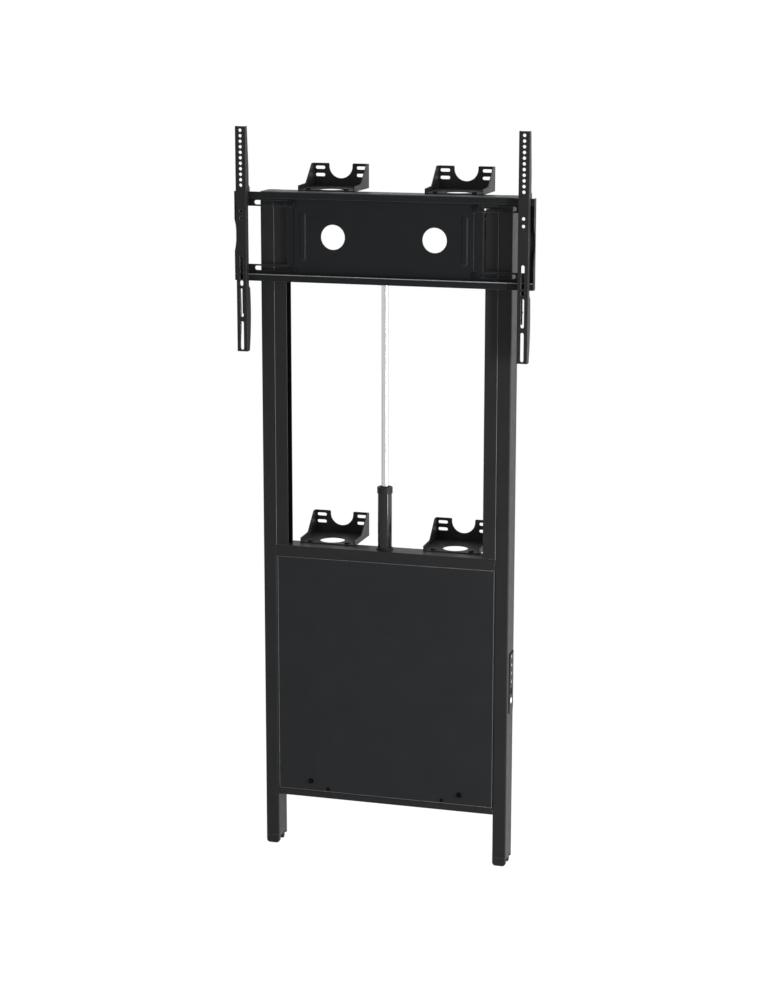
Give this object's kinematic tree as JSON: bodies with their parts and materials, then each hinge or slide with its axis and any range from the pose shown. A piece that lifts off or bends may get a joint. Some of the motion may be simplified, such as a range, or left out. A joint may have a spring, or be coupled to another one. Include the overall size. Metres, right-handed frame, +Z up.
{
  "type": "motorized tv stand",
  "caption": "Floor-to-wall motorised screen lift: black steel frame, electric cylinder, guided carriage with slotted plate and two hanging arms.",
  "frame": {"origin": "on the floor, under the middle of the space that the stand takes up, with the carriage at its highest", "axes": "+X to the right seen from the screen's side, +Y to the wall, +Z up"},
  "size_m": [0.852, 0.234, 2.085],
  "materials": {
    "powder_coat": "matt black powder coat",
    "panel_coat": "matt black powder coat, a little smoother",
    "bracket_coat": "matt black powder coat",
    "black_zinc": "black zinc plate",
    "bright_steel": "ground steel",
    "chrome_rod": "hard chrome",
    "black_plastic": "fine moulded grain",
    "tube_paint": "satin black paint",
    "cast_alloy": "as cast",
    "nylon": "natural nylon",
    "wheel_rubber": "moulded rubber",
    "key_plastic": "grey moulded keys",
    "white_lens": "white lens",
    "board_green": "circuit board"
  },
  "bodies": {
    "frame": {"left_column": "powder_coat", "right_column": "powder_coat", "column_caps": "black_plastic", "left_foot": "black_plastic", "right_foot": "black_plastic", "left_guide_post": "powder_coat", "right_guide_post": "powder_coat", "top_beam": "powder_coat", "mid_beam": "powder_coat", "bottom_rail": "powder_coat", "front_panel": "panel_coat", "panel_screws": "black_zinc", "bracket_bolts": "black_zinc", "actuator_foot": "powder_coat", "foot_pin": "bright_steel", "gear_housing": "cast_alloy", "motor": "tube_paint", "spindle_bearing": "bright_steel", "actuator_tube": "tube_paint", "tube_collar": "black_plastic", "tube_ring": "black_plastic", "control_box": "black_plastic", "circuit_board": "board_green", "control_lid": "black_plastic", "power_inlet": "black_plastic", "keypad_housing": "black_plastic", "keypad_lamp": "white_lens", "lower_left_wall_bracket": "bracket_coat", "lower_right_wall_bracket": "bracket_coat", "upper_left_wall_bracket": "bracket_coat", "upper_right_wall_bracket": "bracket_coat"},
    "carriage": {"screen_plate": "powder_coat", "plate_screws": "black_zinc", "carriage_frame": "powder_coat", "crossbar": "powder_coat", "roller_axles": "bright_steel", "rod_pin": "bright_steel", "actuator_rod": "chrome_rod", "spindle_nut": "nylon"},
    "spindle": {"spindle": "bright_steel"},
    "rocker": {"rocker": "black_plastic"},
    "left_upper_roller": {"left_upper_roller": "nylon"},
    "left_lower_roller": {"left_lower_roller": "nylon"},
    "left_arm": {"left_arm": "powder_coat"},
    "left_lock": {"left_lock_bar": "powder_coat", "left_lock_knob": "black_plastic"},
    "left_wheel_pair": {"left_wheels": "wheel_rubber", "left_wheel_axle": "bright_steel"},
    "right_upper_roller": {"right_upper_roller": "nylon"},
    "right_lower_roller": {"right_lower_roller": "nylon"},
    "right_arm": {"right_arm": "powder_coat"},
    "right_lock": {"right_lock_bar": "powder_coat", "right_lock_knob": "black_plastic"},
    "right_wheel_pair": {"right_wheels": "wheel_rubber", "right_wheel_axle": "bright_steel"},
    "key_1": {"key_1": "key_plastic"},
    "key_2": {"key_2": "key_plastic"},
    "key_3": {"key_3": "key_plastic"},
    "key_4": {"key_4": "key_plastic"},
    "stop_key": {"stop_key": "key_plastic"}
  },
  "joints": [
    {"name": "carriage_lift", "type": "slide", "parent": "frame", "child": "carriage", "axis": [0, 0, 1], "range_m": [-0.55, 0]},
    {"name": "spindle_spin", "type": "hinge", "parent": "frame", "child": "spindle", "pos_m": [-0.0095, -0.0325, 0.6], "axis": [0, 0, 1], "range_deg": [-9901, 0]},
    {"name": "left_upper_roller_roll", "type": "hinge", "parent": "carriage", "child": "left_upper_roller", "pos_m": [-0.294, -0.05, 1.845], "axis": [1, 0, 0], "range_deg": [-1782, 0]},
    {"name": "left_lower_roller_roll", "type": "hinge", "parent": "carriage", "child": "left_lower_roller", "pos_m": [-0.294, -0.05, 1.738], "axis": [1, 0, 0], "range_deg": [0, 1782]},
    {"name": "left_arm_slide", "type": "slide", "parent": "carriage", "child": "left_arm", "axis": [1, 0, 0], "range_m": [-0.008, 0.3]},
    {"name": "left_lock_slide", "type": "slide", "parent": "left_arm", "child": "left_lock", "axis": [0, 0, -1], "range_m": [0, 0.015]},
    {"name": "left_wheel_pair_roll", "type": "hinge", "parent": "frame", "child": "left_wheel_pair", "pos_m": [-0.3405, -0.021, 0.01], "axis": [1, 0, 0], "continuous": true},
    {"name": "right_upper_roller_roll", "type": "hinge", "parent": "carriage", "child": "right_upper_roller", "pos_m": [0.294, -0.05, 1.845], "axis": [1, 0, 0], "range_deg": [-1782, 0]},
    {"name": "right_lower_roller_roll", "type": "hinge", "parent": "carriage", "child": "right_lower_roller", "pos_m": [0.294, -0.05, 1.738], "axis": [1, 0, 0], "range_deg": [0, 1782]},
    {"name": "right_arm_slide", "type": "slide", "parent": "carriage", "child": "right_arm", "axis": [-1, 0, 0], "range_m": [-0.008, 0.3]},
    {"name": "right_lock_slide", "type": "slide", "parent": "right_arm", "child": "right_lock", "axis": [0, 0, -1], "range_m": [0, 0.015]},
    {"name": "right_wheel_pair_roll", "type": "hinge", "parent": "frame", "child": "right_wheel_pair", "pos_m": [0.3405, -0.021, 0.01], "axis": [1, 0, 0], "continuous": true},
    {"name": "key_1_press", "type": "slide", "parent": "frame", "child": "key_1", "axis": [-1, 0, 0], "range_m": [0, 0.001], "stiffness_N_per_m": 2000},
    {"name": "key_2_press", "type": "slide", "parent": "frame", "child": "key_2", "axis": [-1, 0, 0], "range_m": [0, 0.001], "stiffness_N_per_m": 2000},
    {"name": "key_3_press", "type": "slide", "parent": "frame", "child": "key_3", "axis": [-1, 0, 0], "range_m": [0, 0.001], "stiffness_N_per_m": 2000},
    {"name": "key_4_press", "type": "slide", "parent": "frame", "child": "key_4", "axis": [-1, 0, 0], "range_m": [0, 0.001], "stiffness_N_per_m": 2000},
    {"name": "stop_key_press", "type": "slide", "parent": "frame", "child": "stop_key", "axis": [-1, 0, 0], "range_m": [0, 0.001], "stiffness_N_per_m": 2000},
    {"name": "rocker_tip", "type": "hinge", "parent": "frame", "child": "rocker", "pos_m": [0.21, -0.011, 0.206], "axis": [1, 0, 0], "range_deg": [-7, 7]}
  ],
  "couplings": [
    {"joint": "spindle_spin", "follows": "carriage_lift", "rad_per_m": 314.16},
    {"joint": "left_upper_roller_roll", "follows": "carriage_lift", "rad_per_m": 56.497},
    {"joint": "left_lower_roller_roll", "follows": "carriage_lift", "rad_per_m": -56.497},
    {"joint": "right_upper_roller_roll", "follows": "carriage_lift", "rad_per_m": 56.497},
    {"joint": "right_lower_roller_roll", "follows": "carriage_lift", "rad_per_m": -56.497}
  ]
}
